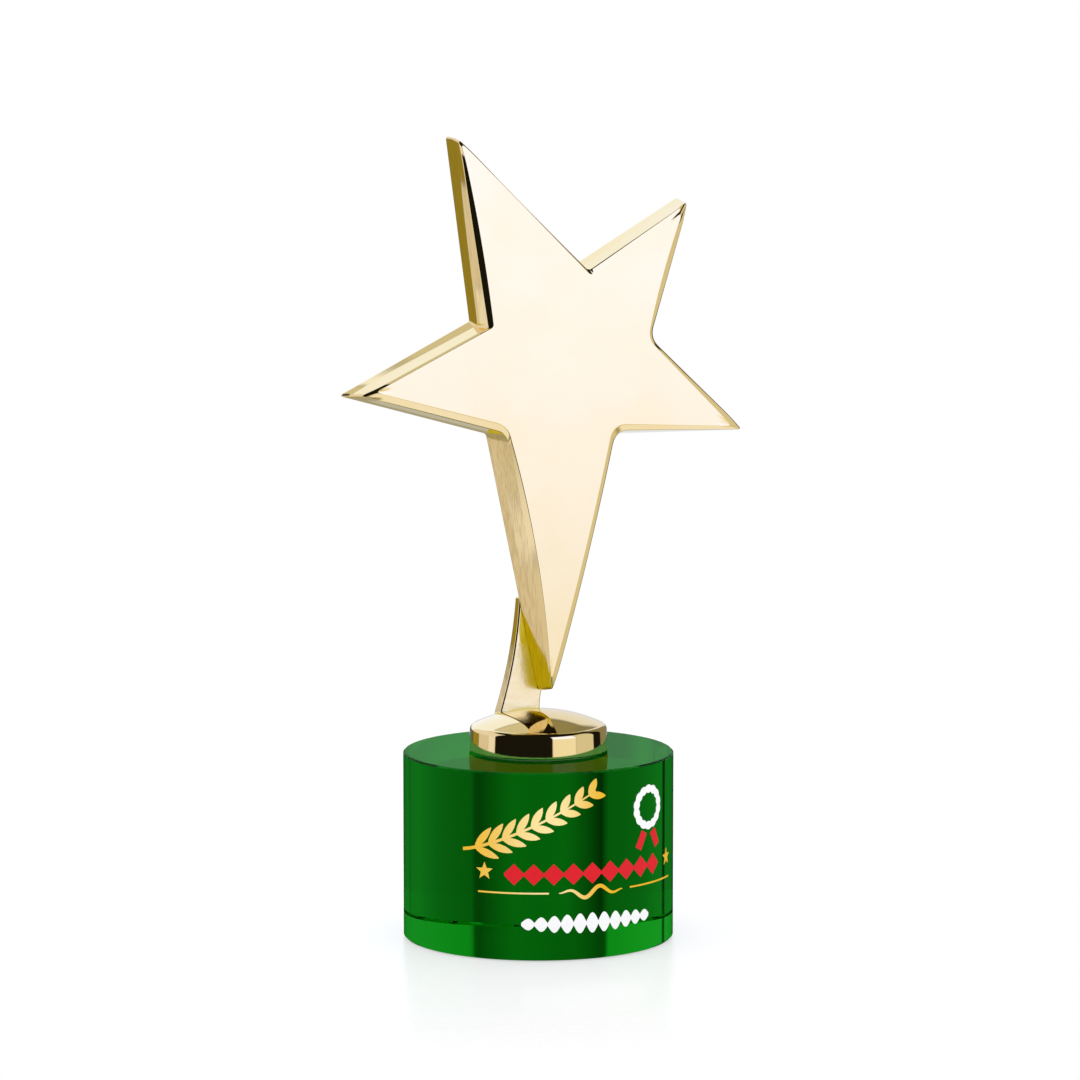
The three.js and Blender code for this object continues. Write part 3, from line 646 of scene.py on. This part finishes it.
# A rounded rectangle carried up the fin: its width comes from the two edges and its depth shrinks
# towards the top, where the last rings close in on a rounded end.
def makeFin(material):
    height, left, right = finEdges()
    up = np.clip(height / fin["fullHeight"], 0, 1)
    depth = fin["thickness"] + (fin["topThickness"] - fin["thickness"]) * up
    middle = (left + right) / 2
    half = (right - left) / 2
    rounding = np.minimum(fin["rounding"], half * 0.9)
    angle = np.linspace(0, pi / 2, fin["cornerSteps"] + 1)
    # four corners, anticlockwise as seen from above
    signs = [(1, 1), (-1, 1), (-1, -1), (1, -1)]
    across, deep = [], []
    for index, (sx, sy) in enumerate(signs):
        turnBy = angle + index * pi / 2
        # a point beside either end of the rounding keeps the flats flat
        step = np.zeros(len(angle) + 2)
        step[[0, -1]] = -0.1, 0.1
        turnBy = np.concatenate([turnBy[:1], turnBy, turnBy[-1:]])
        corner = sx * (half - rounding)[:, None], sy * (depth / 2 - rounding)[:, None]
        across.append(corner[0] + rounding[:, None] * np.cos(turnBy) - step * np.sin(turnBy))
        deep.append(corner[1] + rounding[:, None] * np.sin(turnBy) + step * np.cos(turnBy))
    across = np.concatenate(across, axis=1) + middle[:, None]
    deep = np.concatenate(deep, axis=1) + (depth / 2)[:, None] + fin["front"]
    rows = np.stack([across, deep, np.repeat(height[:, None], across.shape[1], axis=1)], axis=2)
    # rounded top: shrink the last section towards its middle along a quarter circle
    top = rows[-1]
    heart = top.mean(axis=0)
    cap = []
    for t in np.linspace(0, pi / 2, 8)[1:-1]:
        ring = heart + (top - heart) * np.cos(t)
        ring[:, 2] = top[0, 2] + fin["cap"] * np.sin(t)
        cap.append(ring)
    rings = np.concatenate([rows, np.array(cap)]) * mm
    world = fromLeaning(rings)
    # the lowest rings stop just inside the dome
    centre, _ = domeCentre()
    level = world[..., 0] ** 2 + world[..., 1] ** 2
    surface = centre * mm + np.sqrt((foot["domeRadius"] * mm) ** 2 - level)
    world[..., 2] = np.maximum(world[..., 2], surface - 0.05 * mm)
    startPoint = world[0].mean(axis=0)
    end = fromLeaning(np.array([heart + [0, 0, fin["cap"]]]) * mm)[0]
    made = meshFromRings("support_fin_polished", world, startPoint, end)
    place(made, ["support_fin"], "gold_plate", material)


gold = {
    "colour": (0.93, 0.76, 0.38),
    "warm": (0.92, 0.735, 0.345),
    "streak": (0.60, 0.45, 0.20),
    "roughness": 0.035,
    "wallRoughness": 0.12,
    "satinRoughness": 0.22,
    "satinTop": 0.089,       # how high up the fin the brazing was left unpolished
    "satinFade": 0.006,
}


# Mirror gold: faint colour drift and the slight waviness of a hand-polished casting. Streaks are
# polishing lines, by the piece's wall mark. Satin is a lumpy, duller stretch at the fin's foot.
def goldMaterial(name, streaks=False, satin=False):
    material, graph = newMaterial(name)
    coords = objectCoords(graph)
    drift = graph.wire("ShaderNodeTexNoise", inputs={"Vector": coords, "Scale": 38.0, "Detail": 3.0})
    colour = graph.mixColour(drift.between(0.35, 0.7), gold["colour"], gold["warm"])
    waves = graph.wire("ShaderNodeTexNoise", inputs={"Vector": coords, "Scale": 55.0, "Detail": 1.0})
    grain = graph.wire("ShaderNodeTexNoise", inputs={"Vector": coords, "Scale": 900.0, "Detail": 4.0})
    if streaks:
        onWall = graph.wire("ShaderNodeAttribute", {"attribute_name": "wall"}, output="Fac")
        stretched = graph.wire("ShaderNodeMapping", inputs={"Vector": coords, "Scale": (1.0, 1.0, 0.012)})
        lines = graph.wire("ShaderNodeTexNoise", inputs={
            "Vector": stretched, "Scale": 1900.0, "Detail": 2.0})
        colour = graph.mixColour(onWall * lines.between(0.42, 0.62, 0.0, 0.45), colour, gold["streak"])
        duller = gold["wallRoughness"] - gold["roughness"]
        roughness = gold["roughness"] + onWall * (duller + 0.10 * (lines - 0.5))
        height = waves * 0.12 + grain * 0.004 + onWall * lines * 0.030
    elif satin:
        parts = graph.add("ShaderNodeSeparateXYZ", inputs={0: coords})
        lumps = graph.wire("ShaderNodeTexNoise", inputs={"Vector": coords, "Scale": 420.0, "Detail": 3.0})
        rise = Wire(graph, parts.outputs[2]) + gold["satinFade"] * (drift - 0.5)
        patch = rise.between(gold["satinTop"] - gold["satinFade"], gold["satinTop"], 1.0, 0.0)
        roughness = gold["roughness"] + patch * (gold["satinRoughness"] - gold["roughness"])
        height = waves * 0.12 + grain * 0.004 + patch * lumps * 0.9
    else:
        roughness = gold["roughness"] + 0.05 * grain.between(0.5, 0.8)
        height = waves * 0.12 + grain * 0.004
    bump = graph.wire("ShaderNodeBump", inputs={"Height": height, "Strength": 0.12, "Distance": 0.0006})
    shader = graph.add("ShaderNodeBsdfPrincipled", inputs={
        "Base Color": colour, "Metallic": 1.0, "Roughness": roughness, "Normal": bump})
    finishMaterial(graph, shader)
    return material


# Clear glass that deepens with the length of its path, with a faint veil in its colour.
def crystalMaterial(name, shine):
    material, graph = newMaterial(name)
    veil = graph.wire("ShaderNodeTexNoise", inputs={
        "Vector": objectCoords(graph), "Scale": 60.0, "Detail": 2.0})
    shader = graph.add("ShaderNodeBsdfPrincipled", inputs={
        "Base Color": graph.mixColour(veil.between(0.4, 0.7), (0.97, 1, 0.97), (0.94, 0.99, 0.95)),
        "Roughness": 0.001 + 0.002 * veil, "IOR": 1.52, "Transmission Weight": 1.0})
    if shine < 1:
        # on the way in, part of the light skips the surface reflection and is only bent
        clear = graph.add("ShaderNodeBsdfRefraction", inputs={"Roughness": 0.0, "IOR": 1.52})
        inside = graph.wire("ShaderNodeNewGeometry", output="Backfacing")
        mixed = graph.add("ShaderNodeMixShader", inputs={0: (1 - inside) * (1 - shine)})
        graph.tree.links.new(shader.outputs[0], mixed.inputs[1])
        graph.tree.links.new(clear.outputs[0], mixed.inputs[2])
        shader = mixed
    volume = graph.add("ShaderNodeVolumeAbsorption", inputs={
        "Color": (*crystal["tint"], 1), "Density": crystal["density"]})
    finishMaterial(graph, shader, volume)
    return material


# One colour with a fine grain. A painted highlight is a paler band across the middle of the print,
# coloured in to stand for the shine that gold ink catches there.
def plainMaterial(name, colour, roughness, metallic=0.0, speckle=0.03, paintedHighlight=None):
    material, graph = newMaterial(name)
    coords = objectCoords(graph)
    grain = graph.wire("ShaderNodeTexNoise", inputs={"Vector": coords, "Scale": 700.0, "Detail": 3.0})
    dark = tuple(value * (1 - 2 * speckle) for value in colour)
    shade = graph.mixColour(grain.between(0.3, 0.7), colour, dark)
    # painted highlight: a paler band across the middle of the print, in place of the shine of gold ink
    if paintedHighlight:
        across = Wire(graph, graph.add("ShaderNodeSeparateXYZ", inputs={0: coords}).outputs[0])
        highlightBand = across.between(-0.034, -0.013) * across.between(-0.011, 0.004, 1.0, 0.0)
        shade = graph.mixColour(highlightBand * 0.85, shade, paintedHighlight)
    bump = graph.wire("ShaderNodeBump", inputs={"Height": grain, "Strength": 0.1, "Distance": 0.00005})
    shader = graph.add("ShaderNodeBsdfPrincipled", inputs={
        "Base Color": shade, "Roughness": roughness + 0.1 * (grain - 0.5), "Metallic": metallic,
        "Specular IOR Level": 0.5 if metallic else 0.15, "Normal": bump})
    finishMaterial(graph, shader)
    return material


# Gives CAD nodes a new material on their own slots.
def dress(nodes, material):
    for name in nodes:
        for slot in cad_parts[name].material_slots:
            slot.material = material


makeCamera()
makeStudio()
makeFloor()
print("stage ready")

makeStar(goldMaterial("starGold", streaks=True))
print("star made")
makeFin(goldMaterial("finGold", satin=True))
makeFoot(goldMaterial("footGold"))
print("fin and foot made")
makeCrystal()
print("crystal made")

names = list(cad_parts)
# gold ink, with a painted highlight across the middle of the print
goldInk = plainMaterial("goldInk", (0.88, 0.50, 0.02), 0.35, paintedHighlight=(1.0, 0.84, 0.40))
redInk = plainMaterial("redInk", (0.76, 0.012, 0.022), 0.4)
whiteInk = plainMaterial("whiteInk", (0.98, 0.98, 0.98), 0.4, speckle=0.01)
steel = plainMaterial("platedSteel", (0.55, 0.56, 0.58), 0.3, 1.0)
clearBond = plainMaterial("curedBond", (0.72, 0.75, 0.62), 0.3)
braze = plainMaterial("brazeGold", (0.80, 0.60, 0.26), 0.35, 1.0, 0.1)
dress(["print_sprig", "print_star_left", "print_star_right", "print_rule_left", "print_rule_right",
       "print_flourish"], goldInk)
dress(["print_frieze", "print_rosette_tail_left", "print_rosette_tail_right"], redInk)
dress(["print_rosette", "print_garland"], whiteInk)
dress([name for name in names if name.startswith(("dowel", "fin_screw", "lock_washer"))], steel)
dress(["bond_ring"], clearBond)
dress(["braze_seam"], braze)
print("materials set")
